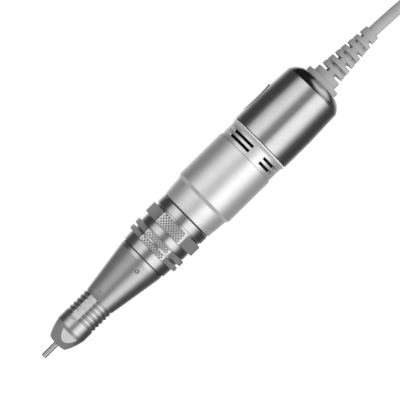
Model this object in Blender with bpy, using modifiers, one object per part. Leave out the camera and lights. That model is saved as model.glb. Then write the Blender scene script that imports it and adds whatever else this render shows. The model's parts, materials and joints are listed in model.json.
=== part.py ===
"""A corded electric nail drill: the handpiece, the chuck and motor inside it, and its lead with the plug.

The handpiece lies along world X with its nose at -X, and the rear cap touches z = 0. A place along its
axis is a station, in millimetres from the nose's front face towards the lead. Turned pieces are drawn
as profiles of (station, radius) in millimetres about the local Z of an empty that lies along world X.
Angles about the axis start at the underside, and 180 degrees is the top. Neighbours that touch on the
real handpiece are a gap of 0.3 mm apart.
"""

from math import cos, pi, radians, sin, sqrt, tan

import bmesh
import bpy
from mathutils import Matrix, Vector

MM = 0.001
GAP = 0.3

# Driving radii, in millimetres
SHANK_R = 1.175  # a 2.35 mm shank, the trade's standard size
GRIP_R = 7.12
BAND_R = 10.6  # the sleeve's rear end
COLLAR_BORE_R = 9.9
COLLAR_CORNER_R = 12.9
BARREL_R = 13.85
CAP_R = 14.18  # the widest piece, which the handpiece lies on
SHAFT_R = 1.5
SPINDLE_R = 3.5
CORD_R = 2.4

# Driving stations, in millimetres from the nose's front face
SHANK_START = -7.4
NOSE_CAP_END = 8.2
GRIP_END = 24.6
CONE_END = 47.0
SLEEVE_END = 48.7
COLLAR_START = 49.1
COLLAR_END = 72.8
BARREL_START = 73.3
BARREL_END = 106.0
VENT_START = 106.3
VENT_END = 114.4
CAP_START = 114.7
CAP_END = 148.0
RELIEF_END = 177.8
BRUSH_STATION = 123.0
DRAW_PIN_STATION = 46.0
CAM_STATION = 65.4

# The chuck's motion
COLLAR_TURN = radians(35)
CHUCK_TRAVEL = 1.2

# The folded lead: centre of its front fold, the straight length between folds, and its radii
HANK_FRONT = 232.0
HANK_RUN = 88.0
HANK_R = 21.6
HANK_HEIGHT = 4 * CORD_R
HANK_WAIST = 9.6
HANK_END_STRAIGHT = 4.0
TIE_WIDTH = 8.0
TIE_THICK = 0.9
PLUG_START = HANK_FRONT + 3.0
PLUG_Y = -9.6
PLUG_Z = 15.3

MID_STATION = (SHANK_START + RELIEF_END) / 2
FINE, MEDIUM, SMALL = 36, 24, 16  # facets round a large, a middling and a small piece

# Angles about the axis
WRENCH_FLAT_ANGLE = radians(192)  # the set screw lies behind the first flat
FLUTE_ANGLE = radians(157.5)
HEX_CORNER_ANGLE = radians(207)
VENT_ANGLE = radians(145)  # the middle of one slot in each row
HOLDER_ANGLES = (pi / 2, 3 * pi / 2)  # the brushes and the cam pins

# Looks: base colour, metallic, roughness
LOOKS = {
    "satin aluminium": ((0.80, 0.80, 0.81), 1.0, 0.35),
    "grey metal": ((0.52, 0.52, 0.53), 1.0, 0.35),
    "polished metal": ((0.62, 0.62, 0.63), 1.0, 0.18),
    "bright steel": ((0.75, 0.75, 0.76), 1.0, 0.20),
    "dark steel": ((0.30, 0.30, 0.31), 1.0, 0.40),
    "magnet": ((0.12, 0.12, 0.13), 0.6, 0.50),
    "brass": ((0.78, 0.60, 0.30), 1.0, 0.30),
    "copper": ((0.75, 0.35, 0.20), 1.0, 0.35),
    "carbon": ((0.05, 0.05, 0.05), 0.0, 0.60),
    "black plastic": ((0.03, 0.03, 0.03), 0.0, 0.45),
    "grey rubber": ((0.40, 0.40, 0.40), 0.0, 0.60),
    "grey cord": ((0.50, 0.50, 0.50), 0.0, 0.50),
    "red sleeve": ((0.60, 0.03, 0.03), 0.0, 0.45),
    "black sleeve": ((0.02, 0.02, 0.02), 0.0, 0.45),
}


# ---------------------------------------------------------------- helpers


def new_collection(name):
    collection = bpy.data.collections.new(name)
    bpy.context.scene.collection.children.link(collection)
    return collection


def new_object(name, data, collection, parent=None, at=(0, 0, 0), turn=(0, 0, 0)):
    obj = bpy.data.objects.new(name, data)
    collection.objects.link(obj)
    obj.parent = parent
    obj.location = [c * MM for c in at]
    obj.rotation_euler = turn
    return obj


def finish(obj, look):
    """A material of the object's own, in one of the LOOKS."""
    color, metallic, roughness = LOOKS[look]
    mat = bpy.data.materials.new(obj.name)
    mat.use_nodes = True
    shader = mat.node_tree.nodes["Principled BSDF"]
    shader.inputs["Base Color"].default_value = (*color, 1)
    shader.inputs["Metallic"].default_value = metallic
    shader.inputs["Roughness"].default_value = roughness
    obj.data.materials.clear()
    obj.data.materials.append(mat)
    return obj


def profile_mesh(name, profile):
    """A section as edges in the XZ plane. Its outer side runs down, as the Screw modifier needs."""
    points = [(r, s) for s, r in profile]
    area = sum(a[0] * b[1] - b[0] * a[1] for a, b in zip(points, points[1:] + points[:1]))
    if area > 0:
        points.reverse()
    edges = [(i, i + 1) for i in range(len(points) - 1)]
    if min(r for r, _ in points) > 0:
        edges.append((len(points) - 1, 0))
    mesh = bpy.data.meshes.new(name)
    mesh.from_pydata([(r * MM, 0, s * MM) for r, s in points], edges, [])
    return mesh


def turned(name, look, profile, segments=MEDIUM, collection=None, **place):
    """A turned solid: a closed loop clear of the axis, or a line that starts and ends on it."""
    obj = new_object(name, profile_mesh(name, profile), collection or PARTS, AXIS, **place)
    screw = obj.modifiers.new("Turn", "SCREW")
    screw.axis = "Z"
    screw.angle = 2 * pi
    screw.steps = screw.render_steps = segments
    screw.use_merge_vertices = True
    screw.merge_threshold = 0.000001
    if min(r for _, r in profile) == 0:
        weld = obj.modifiers.new("Weld", "WELD")
        weld.merge_threshold = 0.000001
    return finish(obj, look)


def tube_profile(start, end, inner, outer):
    return [(start, inner), (start, outer), (end, outer), (end, inner)]


def rod_profile(start, end, radius):
    return [(start, 0), (start, radius), (end, radius), (end, 0)]


def as_mesh(drawn):
    """The drawn object's evaluated shape as a welded mesh object in the same place, which replaces it."""
    bpy.context.view_layer.update()
    shape = drawn.evaluated_get(bpy.context.evaluated_depsgraph_get())
    mesh = bpy.data.meshes.new_from_object(shape)
    bm = bmesh.new()
    bm.from_mesh(mesh)
    bmesh.ops.remove_doubles(bm, verts=bm.verts, dist=0.000001)
    bm.to_mesh(mesh)
    bm.free()
    name = drawn.name
    solid = bpy.data.objects.new(name + "_mesh", mesh)
    drawn.users_collection[0].objects.link(solid)
    solid.parent = drawn.parent
    solid.matrix_world = drawn.matrix_world
    bpy.data.objects.remove(drawn)
    solid.name = name
    return solid


def outline(name, loops, thickness, collection, parent=None, **place):
    """A flat outline of closed loops, with the thickness given along its own Z, centred on it."""
    curve = bpy.data.curves.new(name, "CURVE")
    curve.dimensions = "2D"
    curve.fill_mode = "BOTH"
    curve.extrude = thickness / 2 * MM
    for loop in loops:
        spline = curve.splines.new("POLY")
        spline.points.add(len(loop) - 1)
        spline.use_cyclic_u = True
        for point, (x, y) in zip(spline.points, loop):
            point.co = (x * MM, y * MM, 0, 1)
    return as_mesh(new_object(name, curve, collection, parent, **place))


def wire(name, look, points, radius, resolution=2, parent=None, **place):
    """A round wire along points in millimetres."""
    curve = bpy.data.curves.new(name, "CURVE")
    curve.dimensions = "3D"
    curve.bevel_depth = radius * MM
    curve.bevel_resolution = resolution
    curve.use_fill_caps = True
    spline = curve.splines.new("POLY")
    spline.points.add(len(points) - 1)
    for point, co in zip(spline.points, points):
        point.co = (*[c * MM for c in co], 1)
    return finish(new_object(name, curve, PARTS, parent, **place), look)


def coil(name, look, mean_r, wire_r, length, turns, steps, **place):
    """A spring that starts at its own origin and runs along its own Z."""
    count = int(turns * steps)
    points = []
    for i in range(count + 1):
        a = 2 * pi * i / steps
        points.append((mean_r * cos(a), mean_r * sin(a), wire_r + (length - 2 * wire_r) * i / count))
    return wire(name, look, points, wire_r, resolution=1, parent=AXIS, **place)


def boxes(name, items, collection, parent=None):
    """One mesh of boxes: each item is (size, centre, turn about the axis)."""
    bm = bmesh.new()
    for size, centre, turn in items:
        place = Matrix.Rotation(turn, 4, "Z") @ Matrix.Translation(Vector(centre) * MM)
        scale = Matrix.Diagonal((*[s * MM for s in size], 1))
        bmesh.ops.create_cube(bm, size=1, matrix=place @ scale)
    mesh = bpy.data.meshes.new(name)
    bm.to_mesh(mesh)
    bm.free()
    return new_object(name, mesh, collection, parent)


def radial_rods(name, radius, inner, outer, station, angles, collection, segments=12):
    """One mesh of rods that point away from the axis, from the inner radius to the outer one."""
    bm = bmesh.new()
    for angle in angles:
        place = Matrix.Rotation(angle, 4, "Z")
        place = place @ Matrix.Translation(Vector(((inner + outer) / 2, 0, station)) * MM)
        place = place @ Matrix.Rotation(pi / 2, 4, "Y")
        bmesh.ops.create_cone(
            bm,
            cap_ends=True,
            segments=segments,
            radius1=radius * MM,
            radius2=radius * MM,
            depth=(outer - inner) * MM,
            matrix=place,
        )
    mesh = bpy.data.meshes.new(name)
    bm.to_mesh(mesh)
    bm.free()
    return new_object(name, mesh, collection, AXIS)


def combine(obj, tool, operation="DIFFERENCE"):
    """A Boolean of obj with a tool, which is then only a guide."""
    modifier = obj.modifiers.new(tool.name, "BOOLEAN")
    modifier.operation = operation
    modifier.solver = "EXACT"
    modifier.object = tool
    tool.hide_render = True
    tool.display_type = "WIRE"
    return obj


def arc(radius, start, end, steps, centre=(0, 0)):
    """Points along an arc, both ends included."""
    points = []
    for i in range(steps + 1):
        a = start + (end - start) * i / steps
        points.append((centre[0] + radius * cos(a), centre[1] + radius * sin(a)))
    return points


def sector(inner, outer, middle, sweep, steps):
    """The outline of a piece of a ring."""
    first, last = middle - sweep / 2, middle + sweep / 2
    return arc(outer, first, last, steps) + arc(inner, last, first, steps)


def smooth_route(points, step):
    """Points about a step apart along a smooth curve through the given ones."""
    knots = [Vector(p) for p in points]
    knots = [2 * knots[0] - knots[1], *knots, 2 * knots[-1] - knots[-2]]
    route = []
    for a, b, c, d in zip(knots, knots[1:], knots[2:], knots[3:]):
        count = max(1, round((c - b).length / step))
        for i in range(count):
            t = i / count
            bend = (2 * a - 5 * b + 4 * c - d) * t**2 + (3 * b - a - 3 * c + d) * t**3
            route.append((2 * b + (c - a) * t + bend) / 2)
    route.append(knots[-2])
    return [tuple(p) for p in route]


def world(station, y, z):
    """A place in the world, in millimetres, from a station along the axis."""
    return (station - MID_STATION, y, z)


# ---------------------------------------------------------------- housing


def nose_cap():
    """The domed nose with its three wrench flats, screwed into the sleeve by a spigot."""
    dome = [(0, 3.3), (0.45, 4.15), (1.8, 4.9), (3.8, 5.8), (5.8, 6.5), (NOSE_CAP_END, 7.08)]
    spigot = [(NOSE_CAP_END, 6.0), (10.6, 6.0), (10.6, 4.7)]
    inside = [(4.4, 4.7), (2.0, 3.2), (1.4, 1.5), (0, 1.5)]
    cap = turned("nose_cap", "grey metal", dome + spigot + inside)
    flat_depth, flat_end, flat_tilt = 5.7, 7.3, radians(4)
    for k in range(3):
        a = WRENCH_FLAT_ANGLE + k * 2 * pi / 3
        tool = boxes(f"wrench_flat_{k + 1}", [((5, 12, 10), (2.5, 0, -5), 0)], CUTTERS, AXIS)
        tool.location = (flat_depth * cos(a) * MM, flat_depth * sin(a) * MM, flat_end * MM)
        tool.rotation_euler = (0, flat_tilt, a)
        combine(cap, tool)


def nose_sleeve():
    """The grip sleeve: six grooves round it, three flutes along it, then the cone to its rear band."""
    groove_first, groove_pitch, groove_count = 13.8, 2.0, 6
    groove_half, groove_depth = 0.42, 0.45
    grip_start = NOSE_CAP_END + GAP
    outside = [(grip_start, 6.3), (grip_start, GRIP_R)]
    for k in range(groove_count):
        middle = groove_first + k * groove_pitch
        outside += [(middle - groove_half, GRIP_R), (middle, GRIP_R - groove_depth)]
        outside.append((middle + groove_half, GRIP_R))
    outside += [(GRIP_END, GRIP_R), (GRIP_END + 0.3, GRIP_R + 0.13), (CONE_END, BAND_R), (SLEEVE_END, BAND_R)]
    inside = [(SLEEVE_END, 8.9), (41.2, 8.9), (41.2, 7.9), (27.0, 6.2), (27.0, 5.8), (11.1, 5.8), (11.1, 6.3)]
    sleeve = turned("nose_sleeve", "grey metal", outside + inside)
    half_width, floor_r, front, rear = 1.95, 6.5, 13.75, 26.15
    ramp = radians(11)  # the last round of a flute climbs with the cone
    for k in range(3):
        a = FLUTE_ANGLE + k * 2 * pi / 3
        combine(sleeve, flute_cutter(f"flute_{k + 1}", half_width, floor_r, front, rear - half_width, a))
        climb = floor_r + half_width * tan(ramp)
        combine(sleeve, flute_cutter(f"flute_end_{k + 1}", half_width, climb, rear - 0.1, rear, a, ramp))
    return sleeve


def flute_cutter(name, half_width, floor_r, front, rear, angle, ramp=0.0):
    """A flat-bottomed cutter with round ends, which faces outward; the ramp lifts its rear end."""
    thickness, half_run = 3.0, (rear - front) / 2
    loop = arc(half_width, -pi / 2, pi / 2, 8, (half_run, 0))
    loop += arc(half_width, pi / 2, 3 * pi / 2, 8, (-half_run, 0))
    out = floor_r + thickness / 2
    at = (out * cos(angle), out * sin(angle), (front + rear) / 2)
    return outline(name, [loop], thickness, CUTTERS, AXIS, at=at, turn=(0, pi / 2 + ramp, angle))


def chuck_tube():
    """The fixed tube that joins the sleeve to the barrel and carries the collar, slotted for the cam pins."""
    profile = [(41.5, 7.2), (41.5, 8.6), (49.0, 8.6), (49.0, 9.6), (77.3, 9.6), (77.3, 11.0), (79.0, 11.0)]
    profile += [(79.0, 8.3), (50.3, 8.3), (50.3, 7.2)]
    tube = turned("chuck_tube", "dark steel", profile)
    slot_length = CHUCK_TRAVEL + 2.4
    middle = CAM_STATION - CHUCK_TRAVEL / 2
    slots = boxes("cam_slots", [((24, 2.2, slot_length), (0, 0, middle), pi / 2)], CUTTERS, AXIS)
    return combine(tube, slots)


def set_screw(sleeve, tube):
    """The small screw through the sleeve's rear end that locks it to the chuck tube."""
    station, screw_r, hole_r, angles = 43.6, 0.55, 0.85, [WRENCH_FLAT_ANGLE]
    combine(sleeve, radial_rods("set_screw_hole", hole_r, 7.0, 12.0, station, angles, CUTTERS))
    combine(tube, radial_rods("set_screw_seat", hole_r, 7.8, 12.0, station, angles, CUTTERS))
    screw = radial_rods("nose_set_screw", screw_r, 8.1, 9.9, station, angles, PARTS, 8)
    finish(screw, "dark steel")


def motor_barrel():
    """The barrel round the motor, with the shoulder in front of its widest part."""
    front = [(BARREL_START, COLLAR_BORE_R), (BARREL_START, 12.2), (77.5, 12.62), (81.8, 12.95)]
    widest = [(83.3, BARREL_R), (BARREL_END, BARREL_R)]
    inside = [(BARREL_END, 12.55), (83.0, 12.55), (83.0, 11.7), (77.0, 11.4), (77.0, COLLAR_BORE_R)]
    turned("motor_barrel", "satin aluminium", front + widest + inside, FINE)


def vent_ring():
    """The ring behind the barrel with two rows of four cooling slots, flared to meet the cap."""
    front_spigot = [(104.3, 11.6), (104.3, 12.25), (VENT_START, 12.25)]
    outside = [(VENT_START, 13.35), (112.0, 13.35), (112.6, 13.42), (114.1, 14.05), (VENT_END, 14.05)]
    rear_spigot = [(VENT_END, 12.45), (117.0, 12.45), (117.0, 11.6)]
    ring = turned("vent_ring", "satin aluminium", front_spigot + outside + rear_spigot, FINE)
    slot_sweep, slot_width = radians(64), 1.2
    for row, station in enumerate((108.5, 110.9), 1):
        loops = [sector(10.5, 15, VENT_ANGLE + k * pi / 2, slot_sweep, 4) for k in range(4)]
        tool = outline(f"vent_slots_{row}", loops, slot_width, CUTTERS, AXIS, at=(0, 0, station))
        combine(ring, tool)


def rear_cap():
    """The cap over the brush gear, with a shallow oval seat in its side for a blank badge."""
    side = [(CAP_START, 12.75), (CAP_START, CAP_R), (128.6, CAP_R), (143.8, 13.55)]
    rounding = [(144.6, 13.2), (146.0, 12.25), (147.4, 10.7), (CAP_END, 9.5)]
    inside = [(CAP_END, 5.3), (145.8, 5.3), (145.8, 9.0), (143.6, 11.7), (140.0, 12.3), (128.6, 12.75)]
    cap = turned("rear_cap", "polished metal", side + rounding + inside, FINE)
    combine(cap, badge_solid("badge_seat", 0, 13.4, 16.0, CUTTERS))
    plate = badge_solid("name_plate", GAP, 13.7, 13.95, PARTS)
    finish(plate, "polished metal")


def badge_solid(name, inset, inner, outer, collection):
    """A curved oval plate on the +Y side, between two radii; the inset makes it smaller all round."""
    half_length, half_width, station = 7.4 - inset, 4.2 - inset, 126.4
    loop = [(x * half_width, y * half_length) for x, y in arc(1, 0, 1.9 * pi, 19)]
    oval = outline(f"{name}_oval", [loop], 8, CUTTERS, AXIS, at=(0, 14, station), turn=(pi / 2, 0, 0))
    solid = turned(name, "polished metal", tube_profile(114, 138, inner, outer), FINE, collection)
    combine(solid, oval, "INTERSECT")
    return as_mesh(solid)


def strain_relief():
    """The rubber relief: a flange through the cap, then a taper slotted at its sides and faces by turns."""
    flange_start = CAP_END + GAP
    inner_bead = [(143.0, 2.7), (143.0, 7.0), (145.5, 7.0), (145.5, 5.0), (flange_start, 5.0)]
    flange = [(flange_start, 8.0), (150.5, 8.0), (150.5, 5.7), (153.6, 5.7)]
    taper = [(153.6, 5.5), (RELIEF_END, 3.4), (RELIEF_END, 2.7)]
    relief = turned("strain_relief", "grey rubber", inner_bead + flange + taper, 20)
    spine = 1.25
    side_slots = [(153.6, 155.0), (160.2, 161.4), (166.7, 167.7), (173.0, 174.2)]
    face_slots = [(156.9, 158.1), (163.4, 164.6), (169.8, 171.0)]
    items = []
    for slots, turn in ((side_slots, pi / 2), (face_slots, 0)):
        for start, end in slots:
            for way in (0, pi):
                items.append(((8, 16, end - start), (4 + spine, 0, (start + end) / 2), turn + way))
    combine(relief, boxes("relief_slots", items, CUTTERS, AXIS))


def cord_clamp():
    turned("cord_clamp", "black plastic", tube_profile(141.3, 142.7, 2.7, 5.2), SMALL)


# ---------------------------------------------------------------- collar and chuck


def chuck_collar():
    """The collar that is turned to open the chuck: three six-sided grip rings, and two cam grooves inside."""
    rings = [(53.4, 55.9, 12.5), (56.5, 59.3, 12.62), (62.7, 68.1, COLLAR_CORNER_R)]
    edge = 0.25
    profile = [(COLLAR_START, COLLAR_BORE_R), (COLLAR_START, 11.05), (53.4, 11.3), (53.4, 11.4)]
    floors = [11.4, 11.4, 11.75, 11.9]
    for (start, end, corner), before, after in zip(rings, floors, floors[1:]):
        profile += [(start, before), (start + edge, corner), (end - edge, corner), (end, after)]
    profile = [p for i, p in enumerate(profile) if p != profile[i - 1]]
    profile += [(68.9, 11.9), (69.0, 12.25), (COLLAR_END, 12.25), (COLLAR_END, COLLAR_BORE_R)]
    collar = as_mesh(turned("chuck_collar", "polished metal", profile, FINE))
    side_ratio = 0.93
    for vertex in collar.data.vertices:
        station = vertex.co.z / MM
        radius = vertex.co.xy.length / MM
        on_ring = any(start + edge / 2 < station < end - edge / 2 for start, end, _ in rings)
        if on_ring and radius > 12.4:
            turn = (vertex.co.xy.angle_signed(Vector((1, 0))) % (pi / 3)) / (pi / 3)
            crown = side_ratio + (1 - side_ratio) * (2 * turn - 1) ** 2
            vertex.co.x *= crown
            vertex.co.y *= crown
    collar.rotation_euler = (0, 0, HEX_CORNER_ANGLE)
    finish(collar, "polished metal")
    for k, a in enumerate(HOLDER_ANGLES, 1):
        combine(collar, cam_groove(f"cam_groove_{k}", a))


def cam_groove(name, angle):
    """A round-bottomed helical groove: as the collar turns, the pin in it moves towards the nose."""
    cutter_r, centre_r, overrun, steps = 1.3, 10.1, radians(8), 8
    points = []
    for i in range(steps + 1):
        turn = -overrun + (COLLAR_TURN + 2 * overrun) * i / steps
        station = CAM_STATION - CHUCK_TRAVEL * turn / COLLAR_TURN
        points.append((centre_r * cos(angle - turn), centre_r * sin(angle - turn), station))
    tool = as_mesh(wire(name, "dark steel", points, cutter_r, parent=AXIS))
    PARTS.objects.unlink(tool)
    CUTTERS.objects.link(tool)
    return tool


def pusher():
    """The sleeve that the collar's cam drives towards the nose to open the chuck, with its two pins."""
    profile = [(49.1, 4.2), (49.1, 6.8), (52.0, 6.8), (52.0, 8.0), (69.0, 8.0), (69.0, 6.6)]
    profile += [(53.2, 6.6), (53.2, 5.6), (50.8, 5.6), (50.8, 4.2)]
    sleeve = turned("pusher_sleeve", "bright steel", profile)
    combine(sleeve, radial_rods("cam_pin_holes", 1.1, 5.0, 9.0, CAM_STATION, HOLDER_ANGLES, CUTTERS, 8))
    for k, a in enumerate(HOLDER_ANGLES, 1):
        finish(radial_rods(f"cam_pin_{k}", 0.8, 6.7, 10.6, CAM_STATION, [a], PARTS, 10), "bright steel")


def bearing(name, start, end, radii):
    """An outer and an inner race."""
    inner, inner_land, outer_land, outer = radii
    turned(f"{name}_outer", "bright steel", tube_profile(start, end, outer_land, outer), SMALL)
    turned(f"{name}_inner", "bright steel", tube_profile(start, end, inner, inner_land), SMALL)


def spindle_group():
    """The hollow spindle in its two bearings, and the spring that draws the collet shut."""
    bore_r = 2.6
    profile = [(3.6, 3.0), (3.6, SPINDLE_R), (9.4, SPINDLE_R), (9.4, 4.2), (11.1, 4.2), (11.1, SPINDLE_R)]
    profile += [(26.6, SPINDLE_R), (26.6, 4.3), (27.6, 4.3), (27.6, SPINDLE_R), (66.0, SPINDLE_R)]
    profile += [(66.0, 1.0), (52.0, 1.0), (52.0, bore_r), (7.5, bore_r)]
    spindle = turned("spindle", "bright steel", profile, SMALL)
    slot = boxes("draw_pin_slot", [((9, 2.2, 3.8), (0, 0, DRAW_PIN_STATION - 0.6), pi / 2)], CUTTERS, AXIS)
    combine(spindle, slot)
    radii = (SPINDLE_R + GAP, 4.3, 4.9, 5.5)
    bearing("front_bearing", 11.4, 15.0, radii)
    bearing("mid_bearing", 19.3, 22.9, radii)
    turned("bearing_spacer", "dark steel", tube_profile(15.3, 19.0, 4.9, 5.5), SMALL)
    turned("bearing_nut", "brass", tube_profile(23.2, 26.2, 4.6, 5.5), SMALL)
    coil("chuck_spring", "bright steel", 4.35, 0.5, 15.0, 5, 9, at=(0, 0, 27.9))
    driven = [(61.0, 3.8), (61.0, 5.6), (71.0, 5.6), (71.0, 1.0), (66.4, 1.0), (66.4, 3.8)]
    coupling = turned("driven_coupling", "dark steel", driven, SMALL)
    combine(coupling, boxes("coupling_slot", [((13, 3.0, 4.2), (0, 0, 71.0), 0)], CUTTERS, AXIS))


def collet_group():
    """The split collet, and the bar, pin and ring that push it open."""
    profile = [(4.4, SHANK_R + GAP), (4.4, 2.55), (7.9, 2.25), (8.6, 2.2), (23.8, 2.2), (23.8, SHANK_R + GAP)]
    collet = turned("collet", "bright steel", profile, SMALL)
    slits = [((4, 0.5, 13), (2, 0, 9.5), k * 2 * pi / 3) for k in range(3)]
    combine(collet, boxes("collet_slits", slits, CUTTERS, AXIS))
    bar = turned("draw_bar", "bright steel", rod_profile(24.1, 50.5, 2.3), SMALL)
    hole = radial_rods("draw_pin_hole", 1.1, -8, 8, DRAW_PIN_STATION, [pi / 2], CUTTERS, 8)
    combine(bar, hole)
    ring = turned("thrust_ring", "bright steel", tube_profile(43.2, 48.8, 3.9, 6.6), SMALL)
    combine(ring, hole)
    finish(radial_rods("draw_pin", 0.8, -5.9, 5.9, DRAW_PIN_STATION, [pi / 2], PARTS, 8), "bright steel")


def bit_shank():
    """The plain 2.35 mm shank held in the collet."""
    chamfer = 0.22
    profile = [(SHANK_START, 0), (SHANK_START, SHANK_R - chamfer), (SHANK_START + chamfer, SHANK_R)]
    profile += [(23.4 - chamfer, SHANK_R), (23.4, SHANK_R - chamfer), (23.4, 0)]
    turned("bit_shank", "bright steel", profile, SMALL)


# ---------------------------------------------------------------- motor


def motor_housing():
    """The steel can with its two magnets, and the plate that carries the front bearing."""
    turned("motor_front_plate", "dark steel", tube_profile(79.3, 82.7, 4.3, 11.1))
    can = [(83.4, 4.6), (83.4, 12.25), (104.0, 12.25), (104.0, 11.45), (84.4, 11.45), (84.4, 4.6)]
    turned("motor_can", "dark steel", can)
    for k, a in enumerate((0, pi), 1):
        loop = sector(8.7, 11.15, a, radians(150), 8)
        magnet = outline(f"magnet_{k}", [loop], 18.6, PARTS, AXIS, at=(0, 0, 94.3))
        finish(magnet, "magnet")
    bearing("motor_front_bearing", 79.7, 82.3, (SHAFT_R + GAP, 2.6, 3.3, 4.0))
    bearing("motor_rear_bearing", 132.3, 135.3, (SHAFT_R + GAP, 2.7, 3.6, 4.3))


def slotted_disc(outer, floor, slot_width):
    """The outline of the rotor's five slots: each runs straight in from the outer radius to the floor."""
    loop = []
    half = slot_width / 2
    for k in range(5):
        a = k * 2 * pi / 5
        way, side = Vector((cos(a), sin(a))), Vector((-sin(a), cos(a)))
        lip = sqrt(outer**2 - half**2)
        loop += [way * lip - side * half, way * floor - side * half]
        loop += [way * floor + side * half, way * lip + side * half]
        tooth = [a + 2 * pi / 5 * t for t in (0.3, 0.5, 0.7)]
        loop += [Vector((outer * cos(t), outer * sin(t))) for t in tooth]
    return [tuple(p) for p in loop]


def rotor():
    """The turning part of the motor: shaft, slotted core, winding, commutator, fan and coupling."""
    turned("motor_shaft", "bright steel", rod_profile(72.2, 136.0, SHAFT_R), SMALL)
    bore = arc(SHAFT_R + GAP, 0, 2 * pi * 15 / 16, 15)
    core = outline("rotor_core", [slotted_disc(8.3, 4.2, 2.6), bore], 13.0, PARTS, AXIS, at=(0, 0, 94.5))
    finish(core, "dark steel")
    winding = turned("rotor_winding", "copper", tube_profile(85.6, 103.4, 2.2, 7.6))
    room = outline("core_room", [slotted_disc(9.5, 4.5, 2.0)], 13.6, CUTTERS, AXIS, at=(0, 0, 94.5))
    combine(winding, room)
    hub = [(119.0, 1.8), (119.0, 4.9), (120.2, 4.9), (120.2, 4.2), (127.0, 4.2), (127.0, 1.8)]
    turned("commutator", "copper", hub, SMALL)
    disc = [(106.8, 1.8), (106.8, 4.0), (111.2, 4.0), (111.2, 10.5), (112.0, 10.5), (112.0, 1.8)]
    fan = turned("fan", "black plastic", disc, MEDIUM)
    blades = [((6.9, 0.9, 4.3), (7.05, 0, 109.35), k * pi / 4) for k in range(8)]
    combine(fan, boxes("fan_blades", blades, CUTTERS, AXIS), "UNION")
    coupling = turned("drive_coupling", "dark steel", tube_profile(71.3, 75.8, SHAFT_R + GAP, 4.5), SMALL)
    combine(coupling, boxes("coupling_blade", [((8.4, 2.4, 2.6), (0, 0, 70.5), 0)], CUTTERS, AXIS), "UNION")


def brush_gear():
    """The moulded frame behind the motor: rear bearing, and two sprung carbon brushes in brass holders."""
    profile = [(115.0, 9.8), (115.0, 11.0), (129.6, 11.0), (129.6, 6.2), (136.6, 6.2), (136.6, 4.6)]
    profile += [(131.2, 4.6), (131.2, 2.2), (128.0, 2.2), (128.0, 9.8)]
    frame = turned("brush_frame", "black plastic", profile)
    window = [((26, 6.2, 6.2), (0, 0, BRUSH_STATION), pi / 2)]
    combine(frame, boxes("holder_windows", window, CUTTERS, AXIS))
    for k, a in enumerate(HOLDER_ANGLES, 1):
        holder = boxes(f"brush_holder_{k}", [((5.5, 5.6, 5.6), (8.15, 0, BRUSH_STATION), a)], PARTS, AXIS)
        channel = boxes(f"brush_channel_{k}", [((8, 4.6, 4.6), (8.15, 0, BRUSH_STATION), a)], CUTTERS, AXIS)
        combine(finish(holder, "brass"), channel)
        brush = boxes(f"brush_{k}", [((3.9, 4.0, 4.0), (6.45, 0, BRUSH_STATION), a)], PARTS, AXIS)
        finish(brush, "carbon")
        spring_at = (8.7 * cos(a), 8.7 * sin(a), BRUSH_STATION)
        coil(f"brush_spring_{k}", "bright steel", 1.3, 0.25, 2.2, 3, 6, at=spring_at, turn=(0, pi / 2, a))
        finish(radial_rods(f"brush_cap_{k}", 2.6, 11.2, 11.7, BRUSH_STATION, [a], PARTS), "brass")
    path = [(126.4, 11.7), (129.0, 11.8), (132.0, 10.9), (135.0, 8.6)]
    path += [(137.8, 5.2), (139.4, 2.2), (140.7, 1.1)]
    for color, a in zip(("red", "black"), HOLDER_ANGLES):
        points = [(r * cos(a), r * sin(a), s) for s, r in path]
        wire(f"lead_{color}", f"{color} sleeve", points, 0.5, resolution=1, parent=AXIS)


# ---------------------------------------------------------------- lead and plug


def pulled_in(x):
    """How far the tie has pulled the folded lead in, at x from its front fold: 0 at a fold, 1 at the tie."""
    slope = (HANK_RUN - TIE_WIDTH) / 2 - HANK_END_STRAIGHT
    inside = min(x, HANK_RUN - x) - HANK_END_STRAIGHT
    return (1 - cos(pi * min(max(inside / slope, 0), 1))) / 2


def rectangle(low, high, half_width):
    """An outline between two heights, for a frame whose local X points down."""
    return [(-high, -half_width), (-low, -half_width), (-low, half_width), (-high, half_width)]


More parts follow.
